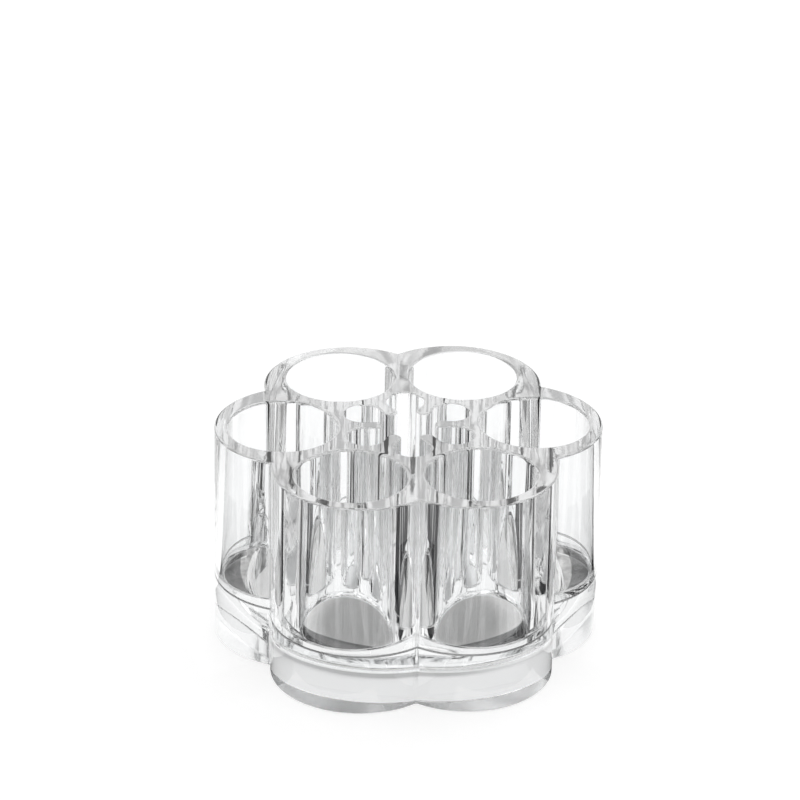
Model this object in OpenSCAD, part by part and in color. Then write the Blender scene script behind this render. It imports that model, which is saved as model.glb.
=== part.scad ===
// Clear flower-shaped organizer: six round cells round a six-armed slot, on a hollow plinth.
// Two mouldings: the cell block holds every upright wall, and the plinth closes the cells below.
// The origin is the middle of the underside, +Z is up, and one cell's centre lies on +X.

/* [Overall] */
// Height from the surface that the organizer stands on to the rim
overall_h = 56.6; // [45:0.2:80]

/* [Cells] */
// Radius of a cell at its mouth, below the bevelled lip
cell_mouth_r = 13.6; // [12:0.1:14]
// How much smaller the radius of a cell is at its floor, so that the core pulls out
cell_taper = 0.1; // [0.05:0.05:1]
// Width of the bevelled lip round the mouth of a cell
lip_w = 0.8; // [0.3:0.1:1]
// Thickness of the wall between two neighbouring cells, where it is thinnest
cell_wall_t = 4.2; // [3.6:0.1:5]
// Thickness of the wall outside a cell, where it is thinnest
outer_wall_t = 3.3; // [2.5:0.1:5]
// How much flatter the wall's arc is than the cell inside it, as a length added to its radius
lobe_extra_r = 5; // [4:0.1:6]
// Radius of the hollow corner in the outline between two cells
notch_r = 1; // [0.4:0.1:2]

/* [Middle slot] */
// Radius of each arm's round end
arm_r = 4.75; // [4.2:0.05:5.2]
// Thickness of the wall between an arm and a cell, where it is thinnest
slot_wall_t = 3; // [2.6:0.1:3.4]
// Length of a web, from the line between two arms' round ends to its tip
web_l = 4.5; // [3.5:0.1:5.5]
// Radius of the rounded tip of a web
web_tip_r = 1.8; // [1.4:0.1:2]

/* [Plinth] */
// Height of the plinth, up to the floor of the cells
plinth_h = 16; // [12:0.5:22]
// Depth of the fine groove round the joint between the two mouldings
groove_d = 0.3; // [0.1:0.05:0.6]
// Height of that groove, which is cut into the plinth's upper edge
groove_h = 0.3; // [0.1:0.05:1]
// Width of the foot, from the hollow to the outermost point of the plinth
foot_w = 11; // [9.5:0.1:15]
// Thickness of the floor between the cells and the hollow
floor_t = 7.2; // [2:0.1:9]
// Radius of the rounded corner between the hollow's wall and its ceiling
hollow_corner_r = 2.4; // [0.6:0.1:3]
// Width of the small bevel at the mouth of the hollow
edge_w = 0.4; // [0.2:0.05:0.6]

/* [Hidden] */
$fn = 180;

cell_count = 6;
turn = 360 / cell_count;
half_turn = turn / 2;
overrun = 1;

// Cells stand round the middle as close as the wall between them allows
cell_floor_r = cell_mouth_r - cell_taper;
cell_ring_r = (cell_mouth_r + cell_wall_t / 2) / sin(half_turn);
wall_h = overall_h - plinth_h;
draft_share = cell_taper / wall_h;

// The outer wall is an arc round each cell, centred nearer to the middle than the cell is
wall_reach = cell_ring_r + cell_mouth_r + outer_wall_t;
wall_lobe_r = cell_mouth_r + outer_wall_t + lobe_extra_r;
lobe_ring_r = wall_reach - wall_lobe_r;
hollow_r = wall_reach - foot_w;
hollow_h = plinth_h - floor_t;

// How far a corner's cutter reaches into the two lobes beside it
corner_bite = 0.05;

// Arms lie between the cells, as far out as the wall between an arm and a cell allows
arm_ring_r = cell_ring_r * cos(half_turn)
             - sqrt(pow(cell_mouth_r + slot_wall_t + arm_r, 2)
                    - pow(cell_ring_r * sin(half_turn), 2));

// At its root a web is as thick as the gap that the arms' round ends leave
web_half = arm_ring_r * sin(half_turn) - arm_r;
web_root_reach = arm_ring_r * cos(half_turn);
web_tip_ring_r = web_root_reach - web_l + web_tip_r;

// Places a child at a radius, once in every step of the turn, starting at an angle
module around(radius, start) {
  for (i = [0 : cell_count - 1])
    rotate([0, 0, start + i * turn])
      translate([radius, 0, 0])
        children();
}

// Six-lobed outline: a disc for every lobe, a core, and a hollow corner between each two lobes
module lobed_outline(lobe_r, corner_r) {
  lobe_x = lobe_ring_r * cos(half_turn);
  lobe_y = lobe_ring_r * sin(half_turn);
  corner_ring_r = lobe_x + sqrt(pow(lobe_r + corner_r, 2) - pow(lobe_y, 2));
  difference() {
    union() {
      circle(r = lobe_ring_r);
      around(lobe_ring_r, 0)
        circle(r = lobe_r);
      around(0, half_turn)
        polygon([[lobe_x, -lobe_y], [corner_ring_r, 0], [lobe_x, lobe_y]]);
    }
    around(corner_ring_r, half_turn)
      circle(r = corner_r + corner_bite);
  }
}

// Outline of the six-armed slot: round ends and a round middle, less the webs between them
module slot_outline() {
  difference() {
    union() {
      circle(r = web_root_reach);
      around(arm_ring_r, half_turn)
        circle(r = arm_r);
    }
    around(0, 0) {
      translate([web_tip_ring_r, 0])
        circle(r = web_tip_r);
      polygon([[web_tip_ring_r, -web_tip_r], [web_root_reach + arm_r, -web_half],
               [web_root_reach + arm_r, web_half], [web_tip_ring_r, web_tip_r]]);
    }
  }
}

// Upper moulding: every upright wall, open through from the rim to the plinth
module cell_block() {
  color([0.86, 0.91, 0.93, 0.5])
    translate([0, 0, plinth_h])
      difference() {
        linear_extrude(height = wall_h)
          lobed_outline(wall_lobe_r, notch_r);
        around(cell_ring_r, 0) {
          translate([0, 0, -overrun])
            cylinder(r1 = cell_floor_r - draft_share * overrun,
                     r2 = cell_mouth_r + draft_share * overrun, h = wall_h + 2 * overrun);
          translate([0, 0, wall_h - 2 * lip_w])
            cylinder(r1 = cell_mouth_r - lip_w, r2 = cell_mouth_r + lip_w + overrun,
                     h = 2 * lip_w + overrun);
        }
        translate([0, 0, -overrun])
          linear_extrude(height = wall_h + 2 * overrun)
            slot_outline();
      }
}

// Half outline of the hollow, with its rounded corner, to be turned about the middle
module hollow_profile() {
  translate([0, -overrun])
    square([hollow_r - hollow_corner_r, overrun + hollow_h]);
  translate([0, -overrun])
    square([hollow_r, overrun + hollow_h - hollow_corner_r]);
  translate([hollow_r - hollow_corner_r, hollow_h - hollow_corner_r])
    circle(r = hollow_corner_r);
}

// Lower moulding: thick lobed rim and the floor of the cells, hollow and open below, and flush
// with the walls above it but for the groove round the joint
module plinth() {
  color([0.80, 0.87, 0.90, 0.5])
    difference() {
      union() {
        linear_extrude(height = plinth_h - groove_h)
          lobed_outline(wall_lobe_r, notch_r);
        linear_extrude(height = plinth_h)
          lobed_outline(wall_lobe_r - groove_d, notch_r + groove_d);
      }
      rotate_extrude()
        hollow_profile();
      translate([0, 0, -overrun])
        cylinder(r1 = hollow_r + edge_w + overrun, r2 = hollow_r - edge_w,
                 h = 2 * edge_w + overrun);
    }
}

cell_block();
plinth();
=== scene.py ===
import math

import bmesh
import bpy
import numpy as np
from mathutils import Matrix


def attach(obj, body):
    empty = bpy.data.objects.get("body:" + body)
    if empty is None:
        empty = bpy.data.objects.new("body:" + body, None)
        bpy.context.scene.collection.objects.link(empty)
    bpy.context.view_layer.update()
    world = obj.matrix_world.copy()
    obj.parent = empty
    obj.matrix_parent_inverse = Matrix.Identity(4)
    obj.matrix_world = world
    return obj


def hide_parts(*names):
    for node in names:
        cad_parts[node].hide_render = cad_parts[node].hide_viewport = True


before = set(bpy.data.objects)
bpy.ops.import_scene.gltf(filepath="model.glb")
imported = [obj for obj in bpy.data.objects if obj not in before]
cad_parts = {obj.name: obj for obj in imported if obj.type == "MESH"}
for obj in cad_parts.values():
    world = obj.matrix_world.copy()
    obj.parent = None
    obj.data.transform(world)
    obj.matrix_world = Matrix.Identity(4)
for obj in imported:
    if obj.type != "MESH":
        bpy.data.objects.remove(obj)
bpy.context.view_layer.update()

# Camera
# A long lens from a little above, turned slightly to one side, as the photograph was taken.
# Angles are in degrees and lengths in metres; the aim is the point on the middle of the frame.

camera_turn = -4.295
camera_rise = 26.395
camera_roll = 1.074
camera_distance = 1.0
camera_aim = (-0.0023, 0.0, 0.063207)
camera_lens = 181.82
sensor_width = 36.0
nearest_seen = 0.05
farthest_seen = 30.0
light_bounces = 13  # only the longest paths through the plastic stay dark

camera = bpy.data.objects.new("photo_camera", bpy.data.cameras.new("photo_camera"))
camera.data.sensor_width = sensor_width
camera.data.lens = camera_lens
camera.data.clip_start = nearest_seen
camera.data.clip_end = farthest_seen
rise = math.radians(camera_rise)
camera.matrix_world = (
    Matrix.Rotation(math.radians(camera_turn), 4, "Z")
    @ Matrix.Translation(camera_aim)
    @ Matrix.Translation(
        (0.0, -camera_distance * math.cos(rise), camera_distance * math.sin(rise))
    )
    @ Matrix.Rotation(math.pi / 2 - rise, 4, "X")
    @ Matrix.Rotation(math.radians(camera_roll), 4, "Z")
)
bpy.context.scene.collection.objects.link(camera)
bpy.context.scene.camera = camera
bpy.context.scene.view_settings.view_transform = "Standard"
bpy.context.scene.cycles.max_bounces = light_bounces
bpy.context.scene.cycles.transmission_bounces = light_bounces
bpy.context.scene.cycles.glossy_bounces = light_bounces

# Stage
# A white table top under a white room. Low dark cards stand far off in front and at the sides,
# one hangs overhead, and dark strips lie on the table in front. The camera doesn't see them and
# they cast no shadow: they draw the clear plastic's edges and upright walls dark. Where the narrow
# strips reach in under the foot, they are also painted shade beneath the object.

table_half = 2.5
table_top = -0.0003
table_colour = (0.32, 0.32, 0.32, 1.0)
table_roughness = 0.6
table_shine = 0.2
table_lift = 0.76
room_level = 0.95

# Under the front and middle of the object the table is darker, in an oval with a soft edge: a
# painted shadow, the shade that the plastic casts beneath itself.
shade_lift = 0.40
shade_shift = (0.0, 0.007, 0.0)
shade_squeeze = (0.72, 1.0, 1.0)
shade_edge = (0.014, 0.021)

card_colour = (0.012, 0.012, 0.014, 1.0)
card_roughness = 0.8
card_reach = 1.9
card_half = 2.5
card_top = 0.75
overhead_height = 3.0
overhead_depth = 2.2

# Every strip runs outward from the object. Each kind is where it begins and how wide it is.
# The narrow kind begins under the foot, where its dark is painted shade on the table.
strip_kinds = ((0.056, 0.029), (0.056, 0.029), (0.038, 0.014))
strip_outer = 0.13
strip_lift = (0.0, 0.0, -0.0001)
strip_turns = np.radians(np.linspace(175.0, 365.0, 11))

key_size = (0.9, 0.6)
key_energy = 1.0
key_turn = -35.0
key_lean = -38.0
key_height = 1.2


def seen_directly(tree):
    """1 for rays that come from the camera, from a gloss or through something clear, and 0 for the
    rest: the largest of Light Path's three outputs for them."""
    path = tree.nodes.new("ShaderNodeLightPath")
    largest = path.outputs["Is Camera Ray"]
    for kind in ("Is Glossy Ray", "Is Transmission Ray"):
        either = tree.nodes.new("ShaderNodeMath")
        either.operation = "MAXIMUM"
        tree.links.new(largest, either.inputs[0])
        tree.links.new(path.outputs[kind], either.inputs[1])
        largest = either.outputs[0]
    return largest


def flat_sheet(name, origin, side, up):
    """A four-cornered sheet: origin, plus u times side, plus v times up, with u and v 0 to 1."""
    u, v = np.meshgrid([0.0, 1.0], [0.0, 1.0], indexing="ij")
    origin, side, up = (np.array(w, float) for w in (origin, side, up))
    points = origin + u[..., None] * side + v[..., None] * up
    mesh = bpy.data.meshes.new(name)
    mesh.from_pydata(points.reshape(-1, 3).tolist(), [], [(0, 2, 3, 1)])
    sheet = bpy.data.objects.new(name, mesh)
    bpy.context.scene.collection.objects.link(sheet)
    return sheet


table_paint = bpy.data.materials.new("white_table")
table_paint.use_nodes = True
nodes, links = table_paint.node_tree.nodes, table_paint.node_tree.links
surface = nodes["Principled BSDF"]
surface.inputs["Base Color"].default_value = table_colour
surface.inputs["Roughness"].default_value = table_roughness
surface.inputs["Specular IOR Level"].default_value = table_shine
surface.inputs["Emission Color"].default_value = (1.0, 1.0, 1.0, 1.0)
place = nodes.new("ShaderNodeTexCoord")
oval = nodes.new("ShaderNodeMapping")
oval.inputs["Location"].default_value = shade_shift
oval.inputs["Scale"].default_value = shade_squeeze
links.new(place.outputs["Object"], oval.inputs["Vector"])
# The painted shadow: inside the oval the table's glow drops from its full lift to the shade's lift.
from_oval = nodes.new("ShaderNodeVectorMath")
from_oval.operation = "LENGTH"
links.new(oval.outputs["Vector"], from_oval.inputs[0])
shade = nodes.new("ShaderNodeMapRange")
shade.interpolation_type = "SMOOTHSTEP"
shade.inputs["From Min"].default_value = shade_edge[0]
shade.inputs["From Max"].default_value = shade_edge[1]
shade.inputs["To Min"].default_value = shade_lift
shade.inputs["To Max"].default_value = table_lift
links.new(from_oval.outputs["Value"], shade.inputs["Value"])
lift = nodes.new("ShaderNodeMath")
lift.operation = "MULTIPLY"
links.new(seen_directly(table_paint.node_tree), lift.inputs[0])
links.new(shade.outputs["Result"], lift.inputs[1])
links.new(lift.outputs[0], surface.inputs["Emission Strength"])

table = flat_sheet(
    "table_top",
    (-table_half, -table_half, table_top),
    (2 * table_half, 0.0, 0.0),
    (0.0, 2 * table_half, 0.0),
)
table.data.materials.append(table_paint)

room = bpy.data.worlds.new("white_room")
room.use_nodes = True
bpy.context.scene.world = room
nodes, links = room.node_tree.nodes, room.node_tree.links
lit = nodes["Background"]
lit.inputs["Color"].default_value = (room_level, room_level, room_level, 1.0)
shown = nodes.new("ShaderNodeBackground")
shown.inputs["Color"].default_value = (1.0, 1.0, 1.0, 1.0)
choice = nodes.new("ShaderNodeMixShader")
links.new(seen_directly(room.node_tree), choice.inputs["Fac"])
links.new(lit.outputs[0], choice.inputs[1])
links.new(shown.outputs[0], choice.inputs[2])
links.new(choice.outputs[0], nodes["World Output"].inputs["Surface"])

card_paint = bpy.data.materials.new("dark_card")
card_paint.use_nodes = True
surface = card_paint.node_tree.nodes["Principled BSDF"]
surface.inputs["Base Color"].default_value = card_colour
surface.inputs["Roughness"].default_value = card_roughness
surface.inputs["Specular IOR Level"].default_value = 0.0

across_front = (2 * card_half, 0.0, 0.0)
along_side = (0.0, 2 * card_reach, 0.0)
upright = (0.0, 0.0, card_top)
cards = {
    "card_front": ((-card_half, -card_reach, 0.0), across_front, upright),
    "card_left": ((-card_reach, -card_reach, 0.0), along_side, upright),
    "card_right": ((card_reach, -card_reach, 0.0), along_side, upright),
    "card_above": (
        (-card_half, -card_reach, overhead_height),
        across_front,
        (0.0, overhead_depth, 0.0),
    ),
}
for number, angle in enumerate(strip_turns):
    inner, width = strip_kinds[number % len(strip_kinds)]
    way = np.array([math.cos(angle), math.sin(angle), 0.0])
    across = width * np.array([-way[1], way[0], 0.0])
    cards[f"card_strip_{number}"] = (
        inner * way - 0.5 * across + strip_lift,
        (strip_outer - inner) * way,
        across,
    )
for card_name, (origin, side, up) in cards.items():
    card = flat_sheet(card_name, origin, side, up)
    card.data.materials.append(card_paint)
    card.visible_camera = False
    card.visible_diffuse = False
    card.visible_shadow = False

key = bpy.data.objects.new("soft_key", bpy.data.lights.new("soft_key", "AREA"))
key.data.shape = "RECTANGLE"
key.data.size, key.data.size_y = key_size
key.data.energy = key_energy
key.matrix_world = (
    Matrix.Rotation(math.radians(key_turn), 4, "Z")
    @ Matrix.Rotation(math.radians(key_lean), 4, "X")
    @ Matrix.Translation((0.0, 0.0, key_height))
)
bpy.context.scene.collection.objects.link(key)

# Cell block
# The tall upper moulding: six drafted round cells in a ring and a six-armed slot between them,
# in clear polystyrene with polished walls. It is bonded by its whole lower face to the plinth.
# Sizes are in millimetres, as in the part's source, and meshes are made in metres.

mm = 0.001
overall_h = 56.6
plinth_h = 16.0
wall_reach = 48.3
wall_lobe_r = 21.9
notch_r = 1.0
lobe_ring_r = wall_reach - wall_lobe_r
cell_ring_r = 31.4
cell_mouth_r = 13.6
cell_floor_r = 13.5
arm_ring_r = 12.7253
arm_r = 4.75
web_tip_reach = 6.5204
web_tip_r = 1.8
rim_round = 0.45
lip_round = 0.8
joint_round = 0.3
foot_fillet = 1.2
half_turn = 30.0

# How finely the curves are cut. Supports are rows close to the edges of a flat face.
lobe_steps = 64
corner_steps = 8
tip_steps = 14
flank_steps = 4
arm_steps = 34
line_steps = 8
rounding_steps = 5
fillet_steps = 8
support_shares = np.array([0.0, 0.05, 0.95, 1.0])
join_distance = 1e-7

# A noise is its scale in waves per metre, its detail and its roughness.
clear_ior = 1.5
line_noise = (600.0, 3.0, 0.55)
line_stretch = (1.0, 1.0, 0.004)
line_depth = 0.000004
wave_noise = (330.0, 4.0, 0.6)
wave_depth = 0.00006
mark_noise = (900.0, 6.0, 0.5)
block_tint = (0.985, 0.99, 0.992, 1.0)
groove_tint = (0.15, 0.15, 0.15, 1.0)


def compass(degrees):
    """Directions (cosine, sine) of an array of angles in degrees."""
    a = np.radians(np.asarray(degrees, float))
    return np.stack([np.cos(a), np.sin(a)], -1)


def half_lobe(lobe_r, corner_r):
    """Outer outline from the middle of a lobe to the bottom of the corner beside it, as points and
    outward directions. Both arcs are centre plus radius times direction. They touch on the line
    through their centres: the lobe's turns outward from it, and the corner's turns back."""
    lobe_centre = np.array([lobe_ring_r, 0.0])
    across = lobe_ring_r * math.sin(math.radians(half_turn))
    corner_ring_r = lobe_ring_r * math.cos(math.radians(half_turn)) + math.sqrt(
        (lobe_r + corner_r) ** 2 - across**2
    )
    corner_centre = corner_ring_r * compass(half_turn)
    to_corner = corner_centre - lobe_centre
    touch = math.degrees(math.atan2(to_corner[1], to_corner[0]))
    lobe_way = compass(np.linspace(0.0, touch, lobe_steps + 1))
    corner_way = compass(np.linspace(touch + 180, half_turn + 180, corner_steps + 1))[1:]
    points = np.concatenate(
        [lobe_centre + lobe_r * lobe_way, corner_centre + corner_r * corner_way]
    )
    return points, np.concatenate([lobe_way, -corner_way])


def half_arm():
    """Slot outline from the tip of a web to the far end of the arm beside it, as points and the
    directions that point into the slot. The web's round tip and the arm's round end are arcs,
    and the web's flank is the straight line that touches both."""
    tip_centre = np.array([web_tip_reach + web_tip_r, 0.0])
    arm_centre = arm_ring_r * compass(half_turn)
    reach = arm_centre - tip_centre
    distance = math.hypot(*reach)
    lean = math.degrees(
        math.atan2(reach[1], reach[0]) + math.acos((web_tip_r + arm_r) / distance)
    )
    tip_way = compass(np.linspace(180.0, lean, tip_steps + 1))
    arm_way = compass(np.linspace(lean + 180, half_turn + 360, arm_steps + 1))
    tip = tip_centre + web_tip_r * tip_way
    arm = arm_centre + arm_r * arm_way
    share = np.linspace(0.0, 1.0, flank_steps + 1)[1:-1, None]
    flank = tip[-1] * (1 - share) + arm[0] * share
    flank_way = np.repeat(tip_way[-1:], flank_steps - 1, axis=0)
    return np.concatenate([tip, flank, arm]), np.concatenate([tip_way, flank_way, -arm_way])


def all_round(half, closed=False):
    """A half outline from one mirror line to the next, copied to all twelve: it is mirrored in the
    line that it starts on, and that pair is turned by sixths of a turn."""
    pair = np.concatenate([(half * [1, -1])[::-1], half[1:]])
    if not closed:
        pair = pair[:-1]
    a = np.radians(2 * half_turn * np.arange(6))
    turns = np.stack(
        [np.stack([np.cos(a), -np.sin(a)], 1), np.stack([np.sin(a), np.cos(a)], 1)], 1
    )
    copies = np.einsum("kij,nj->kni", turns, pair)
    return copies if closed else copies.reshape(-1, 2)


def carried(path, way, profile):
    """A profile carried round a closed outline: point (u, v) is outline point u, moved along its
    direction by the first number of profile point v, at the height of its second."""
    out, height = np.asarray(profile, float).T
    flat = path[:, None] + way[:, None] * out[None, :, None]
    up = np.broadcast_to(height[None, :, None], flat.shape[:2] + (1,))
    grid = np.concatenate([flat, up], 2)
    return np.concatenate([grid, grid[:1]])


def ruled(inner, outer, height, shares=support_shares):
    """A level surface between two lines: point (u, v) lies share v of the way from point u of the
    first line to point u of the second, at one height. Lines may come in several copies."""
    s = shares[:, None]
    flat = inner[..., None, :] * (1 - s) + outer[..., None, :] * s
    return np.concatenate([flat, np.full(flat.shape[:-1] + (1,), float(height))], -1)


def rounding(size, steps=rounding_steps):
    """A quarter round as steps plus one pairs: how far in from the wall, and how far below the top,
    from where it leaves the wall to where it meets the top face."""
    a = np.linspace(0.0, math.pi / 2, steps + 1)
    return np.stack([size * (1 - np.cos(a)), size * (1 - np.sin(a))], 1)


def fillet(size, steps=fillet_steps):
    """A hollow quarter round as steps plus one pairs: how far out from the wall, and how far above
    the floor, from where it meets the floor to where it meets the wall."""
    a = np.linspace(0.0, math.pi / 2, steps + 1)
    return np.stack([size * (1 - np.sin(a)), size * (1 - np.cos(a))], 1)


def closed_solid(name, patches, paints, sharp=35.0):
    """One closed mesh of patches, each a (u, v) grid of points in millimetres with a paint number:
    every grid square becomes a face, and points that coincide are joined."""
    points, faces, marks, start = [], [], [], 0
    for grid, mark in patches:
        for part in grid.reshape((-1,) + grid.shape[-3:]):
            rows, columns = part.shape[:2]
            index = start + np.arange(rows * columns).reshape(rows, columns)
            square = np.stack(
                [index[:-1, :-1], index[1:, :-1], index[1:, 1:], index[:-1, 1:]], -1
            ).reshape(-1, 4)
            points.append(part.reshape(-1, 3))
            faces.append(square)
            marks.append(np.full(len(square), mark))
            start += rows * columns
    mesh = bpy.data.meshes.new(name)
    mesh.from_pydata((np.concatenate(points) * mm).tolist(), [], np.concatenate(faces).tolist())
    mesh.polygons.foreach_set("material_index", np.concatenate(marks).astype(np.int32))
    joined = bmesh.new()
    joined.from_mesh(mesh)
    bmesh.ops.remove_doubles(joined, verts=joined.verts, dist=join_distance)
    bmesh.ops.recalc_face_normals(joined, faces=joined.faces)
    joined.to_mesh(mesh)
    joined.free()
    mesh.polygons.foreach_set("use_smooth", np.ones(len(mesh.polygons), bool))
    mesh.set_sharp_from_angle(angle=math.radians(sharp))
    piece = bpy.data.objects.new(name, mesh)
    bpy.context.scene.collection.objects.link(piece)
    for paint in paints:
        mesh.materials.append(paint)
    return piece


def noise(tree, where, grain):
    """A fractal noise of one scale, detail and roughness, read at the coordinates given."""
    field = tree.nodes.new("ShaderNodeTexNoise")
    for socket, value in zip(("Scale", "Detail", "Roughness"), grain):
        field.inputs[socket].default_value = value
    tree.links.new(where, field.inputs["Vector"])
    return field.outputs["Fac"]


def raised(tree, height, depth):
    """A bump that lifts the surface by the height field times the depth in metres."""
    relief = tree.nodes.new("ShaderNodeBump")
    relief.inputs["Strength"].default_value = 1.0
    relief.inputs["Distance"].default_value = depth
    tree.links.new(height, relief.inputs["Height"])
    return relief


def clear_plastic(name, tint, roughness, lines=0.0, waves=0.0):
    """Smooth clear plastic: a transmitting surface whose draw lines are a noise stretched far
    along Z, with slow waves over them where a depth is given. A finer noise of handling marks
    takes the roughness from half to one and a half times its value."""
    paint = bpy.data.materials.new(name)
    paint.use_nodes = True
    tree = paint.node_tree
    surface = tree.nodes["Principled BSDF"]
    surface.inputs["Base Color"].default_value = tint
    surface.inputs["Transmission Weight"].default_value = 1.0
    surface.inputs["IOR"].default_value = clear_ior
    place = tree.nodes.new("ShaderNodeTexCoord").outputs["Object"]
    stretch = tree.nodes.new("ShaderNodeMapping")
    stretch.inputs["Scale"].default_value = line_stretch
    tree.links.new(place, stretch.inputs["Vector"])
    relief = raised(tree, noise(tree, stretch.outputs["Vector"], line_noise), lines)
    if waves:
        swell = raised(tree, noise(tree, place, wave_noise), waves)
        tree.links.new(relief.outputs["Normal"], swell.inputs["Normal"])
        relief = swell
    tree.links.new(relief.outputs["Normal"], surface.inputs["Normal"])
    spread = tree.nodes.new("ShaderNodeMapRange")
    spread.inputs["To Min"].default_value = roughness * 0.5
    spread.inputs["To Max"].default_value = roughness * 1.5
    tree.links.new(noise(tree, place, mark_noise), spread.inputs["Value"])
    tree.links.new(spread.outputs["Result"], surface.inputs["Roughness"])
    return paint


# The bonded face has no look of its own: light goes straight through it from one moulding into
# the other, as through the cement of a clear joint.
bond_paint = bpy.data.materials.new("clear_bond")
bond_paint.use_nodes = True
bond_paint.node_tree.nodes["Principled BSDF"].inputs["Alpha"].default_value = 0.0

block_paint = clear_plastic("clear_block_plastic", block_tint, roughness=0.008, lines=line_depth)
groove_paint = clear_plastic("clear_groove_plastic", groove_tint, roughness=0.1)
rim_paint = clear_plastic(
    "clear_rim_plastic", block_tint, roughness=0.01, lines=line_depth, waves=wave_depth
)

outer, outer_way = half_lobe(wall_lobe_r, notch_r)
slot, slot_way = half_arm()
line_share = np.linspace(0.0, 1.0, line_steps + 1)[1:-1, None]


def sector_edge(outer_half, slot_half):
    """Edge of half a sector round its cell, from the middle of the lobe to the tip of the web: the
    outer outline, a straight line to the arm, and the slot outline walked backwards."""
    line = outer_half[-1] * (1 - line_share) + slot_half[-1] * line_share
    return np.concatenate([outer_half, line, slot_half[::-1]])


# Every point of a sector's edge looks at the cell's centre from its own angle, and the cell's
# circle gets a point at each of them. Along the web, which the arm hides, they are evenly spaced.
edge = sector_edge(outer, slot)
looks = np.degrees(np.arctan2(edge[:, 1], edge[:, 0] - cell_ring_r))
web_steps = tip_steps + flank_steps
looks[-web_steps - 1 :] = np.linspace(looks[-web_steps - 1], 180.0, web_steps + 1)
looks = np.maximum.accumulate(looks)
cell_way = compass(looks)


def cell_edge(radius):
    """Half the circle of a cell with that radius, at the angles of its sector's edge."""
    return np.array([cell_ring_r, 0.0]) + radius * cell_way


def rim_face():
    """The level face between the outer wall, the cells and the slot at the rim, with each edge
    drawn back from its wall by its rounding, as six sectors of matched lines."""
    far = sector_edge(outer - outer_way * rim_round, slot - slot_way * rim_round)
    return ruled(
        all_round(cell_edge(cell_mouth_r + lip_round), closed=True),
        all_round(far, closed=True),
        overall_h,
    )


def bonded_face():
    """The level face that the two mouldings share, ruled in the same way: it ends at the fillets
    in the cells and the slot, and at the rounding of the joint's groove outside."""
    far = sector_edge(outer - outer_way * joint_round, slot + slot_way * foot_fillet)
    return ruled(
        all_round(cell_edge(cell_floor_r - foot_fillet), closed=True),
        all_round(far, closed=True),
        plinth_h,
    )


round_in, round_down = rounding(rim_round).T
joint_in, joint_down = rounding(joint_round).T
fillet_in, fillet_up = fillet(foot_fillet).T
rim_profile = np.stack([-round_in, overall_h - round_down], 1)
groove_top = np.stack([-joint_in, plinth_h + joint_down], 1)[::-1]
wall_profile = np.concatenate([groove_top[-1:], rim_profile])
slot_profile = np.concatenate([np.stack([fillet_in, plinth_h + fillet_up], 1), rim_profile])

# The cells' walls are stacked circles: the fillet at the floor, the drafted wall and then the
# rounded lip, which opens out.
lip_in, lip_down = rounding(lip_round, fillet_steps).T
cell_heights = np.concatenate([plinth_h + fillet_up, overall_h - lip_down])
cell_radii = np.concatenate([cell_floor_r - fillet_in, cell_mouth_r + lip_in])
cell_lines = np.stack([all_round(cell_edge(r), closed=True) for r in cell_radii], 2)
cell_up = np.broadcast_to(cell_heights[:, None], cell_lines.shape[:-1] + (1,))
cell_walls = np.concatenate([cell_lines, cell_up], -1)

plain, bond, rim, groove = range(4)
block = closed_solid(
    "cell_block_clear",
    [
        (carried(all_round(outer), all_round(outer_way), wall_profile), plain),
        (carried(all_round(outer), all_round(outer_way), groove_top), groove),
        (carried(all_round(slot), all_round(slot_way), slot_profile), plain),
        (cell_walls, plain),
        (rim_face(), rim),
        (bonded_face(), bond),
    ],
    [block_paint, bond_paint, rim_paint, groove_paint],
)
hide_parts("cell_block")
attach(block, "root")

# Plinth
# The thick lower moulding, in the same clear plastic. It carries the cell block, closes its cells
# and slot from below, and stands on the flat lobed ring round its hollow.

foot_round = 0.35
mouth_round = 0.4
hollow_r = 37.3
hollow_corner_r = 2.4
floor_t = 7.2
hollow_h = plinth_h - floor_t
hollow_steps = 8
floor_shares = np.array([0.0, 0.3, 0.6, 0.85, 0.97, 1.0])
ceiling_shares = np.array([0.7, 0.35, 0.0])
plinth_tint = (0.98, 0.988, 0.99, 1.0)
# The cells' floors are painted grey: painted shade for the darker table seen through them.
floor_painted_shade = (0.74, 0.735, 0.725, 1.0)
hollow_tint = (0.93, 0.935, 0.94, 1.0)
foot_tint = (1.0, 1.0, 1.0, 1.0)

# Past the hollow's wall the cells' floors lie over the solid foot, and are painted dark there:
# painted shade for the table's shade under the foot. The edge of that zone is a distance from the
# middle, in metres.
over_foot_painted_shade = (0.08, 0.08, 0.08, 1.0)
over_foot_edge = (0.0388, 0.0392)

# The foot is painted darker in spots, painted shade for the table beneath it: where their noise
# starts and ends, and the grey levels there.
foot_shade_noise = (160.0, 2.0, 0.65)
foot_shade_tones = ((0.38, 0.2), (0.62, 1.0))

plinth_paint = clear_plastic("clear_plinth_plastic", plinth_tint, roughness=0.01, lines=line_depth)
hollow_paint = clear_plastic("clear_hollow_plastic", hollow_tint, roughness=0.05)

# The cells' floors get the painted grey shade, and a painted dark shade where they lie over the
# foot.
floor_paint = clear_plastic("clear_floor_plastic", floor_painted_shade, roughness=0.03)
nodes, links = floor_paint.node_tree.nodes, floor_paint.node_tree.links
place = nodes.new("ShaderNodeTexCoord")
level = nodes.new("ShaderNodeVectorMath")
level.operation = "MULTIPLY"
level.inputs[1].default_value = (1.0, 1.0, 0.0)
links.new(place.outputs["Object"], level.inputs[0])
from_middle = nodes.new("ShaderNodeVectorMath")
from_middle.operation = "LENGTH"
links.new(level.outputs[0], from_middle.inputs[0])
over_foot = nodes.new("ShaderNodeMapRange")
over_foot.inputs["From Min"].default_value = over_foot_edge[0]
over_foot.inputs["From Max"].default_value = over_foot_edge[1]
links.new(from_middle.outputs["Value"], over_foot.inputs["Value"])
tone = nodes.new("ShaderNodeMix")
tone.data_type = "RGBA"
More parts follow.
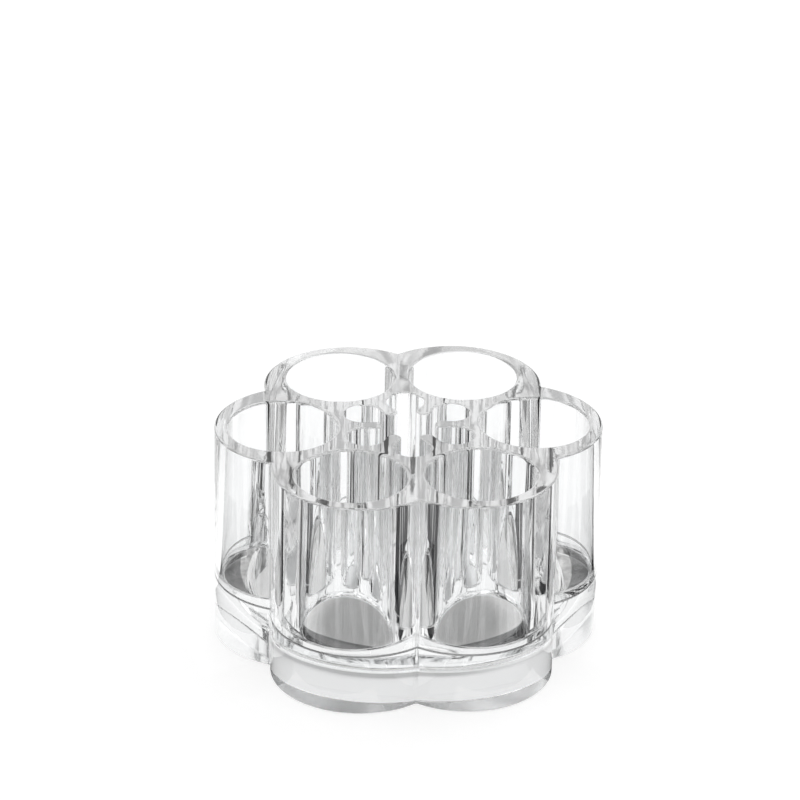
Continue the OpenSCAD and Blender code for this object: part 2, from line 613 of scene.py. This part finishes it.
tone.inputs["A"].default_value = floor_painted_shade
tone.inputs["B"].default_value = over_foot_painted_shade
links.new(over_foot.outputs["Result"], tone.inputs["Factor"])
links.new(tone.outputs["Result"], nodes["Principled BSDF"].inputs["Base Color"])

# The foot's underside has painted shade in spots, darkening the table seen through it.
foot_paint = clear_plastic("foot_plastic_painted_shade", foot_tint, roughness=0.15)
nodes, links = foot_paint.node_tree.nodes, foot_paint.node_tree.links
place = nodes.new("ShaderNodeTexCoord")
foot_shade_spots = nodes.new("ShaderNodeValToRGB")
for stop, (position, grey) in zip(foot_shade_spots.color_ramp.elements, foot_shade_tones):
    stop.position = position
    stop.color = (grey, grey, grey, 1.0)
links.new(noise(foot_paint.node_tree, place.outputs["Object"], foot_shade_noise), foot_shade_spots.inputs["Fac"])
links.new(foot_shade_spots.outputs["Color"], nodes["Principled BSDF"].inputs["Base Color"])

foot_in, foot_down = rounding(foot_round).T
mouth_in, mouth_down = rounding(mouth_round).T
corner_in, corner_down = rounding(hollow_corner_r, hollow_steps).T
groove_foot = np.stack([-joint_in, plinth_h - joint_down], 1)
skirt_profile = np.concatenate([np.stack([-foot_in, foot_down], 1)[::-1], groove_foot[:1]])
hollow_profile = np.concatenate(
    [
        np.stack([hollow_r + mouth_in[::-1], mouth_down[::-1]], 1),
        np.stack([hollow_r - corner_in, hollow_h - corner_down], 1),
        np.stack([ceiling_shares * hollow_r, np.full(len(ceiling_shares), hollow_h)], 1),
    ]
)

cell_floor = ruled(
    all_round(cell_edge(0.0), closed=True),
    all_round(cell_edge(cell_floor_r - foot_fillet), closed=True),
    plinth_h,
    floor_shares,
)
# The slot's floor is ruled from each arm's middle line. That is walked a little over twice as
# fast as the outline, and ends at the centre of the arm's round end. It keeps the plain finish:
# only the cells' floors carry the painted grey shade.
arm_pace = 2.2
along = np.clip(np.linspace(0.0, arm_pace, len(slot)), 0.0, 1.0)[:, None]
slot_floor = ruled(
    all_round(arm_ring_r * along * compass(half_turn), closed=True),
    all_round(slot + slot_way * foot_fillet, closed=True),
    plinth_h,
    floor_shares,
)
underside = outer - outer_way * foot_round
ring_way = underside / np.linalg.norm(underside, axis=1, keepdims=True)
ring_path = all_round(ring_way)
foot_ring = ruled(
    all_round(ring_way * (hollow_r + mouth_round), closed=True),
    all_round(underside, closed=True),
    0.0,
)

plain, bond, floors, foot, hollow, groove = range(6)
plinth = closed_solid(
    "plinth_clear",
    [
        (carried(all_round(outer), all_round(outer_way), skirt_profile), plain),
        (carried(all_round(outer), all_round(outer_way), groove_foot), groove),
        (bonded_face(), bond),
        (cell_floor, floors),
        (slot_floor, plain),
        (foot_ring, foot),
        (carried(0.0 * ring_path, ring_path, hollow_profile), hollow),
    ],
    [plinth_paint, bond_paint, floor_paint, foot_paint, hollow_paint, groove_paint],
)
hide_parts("plinth")
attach(plinth, "root")
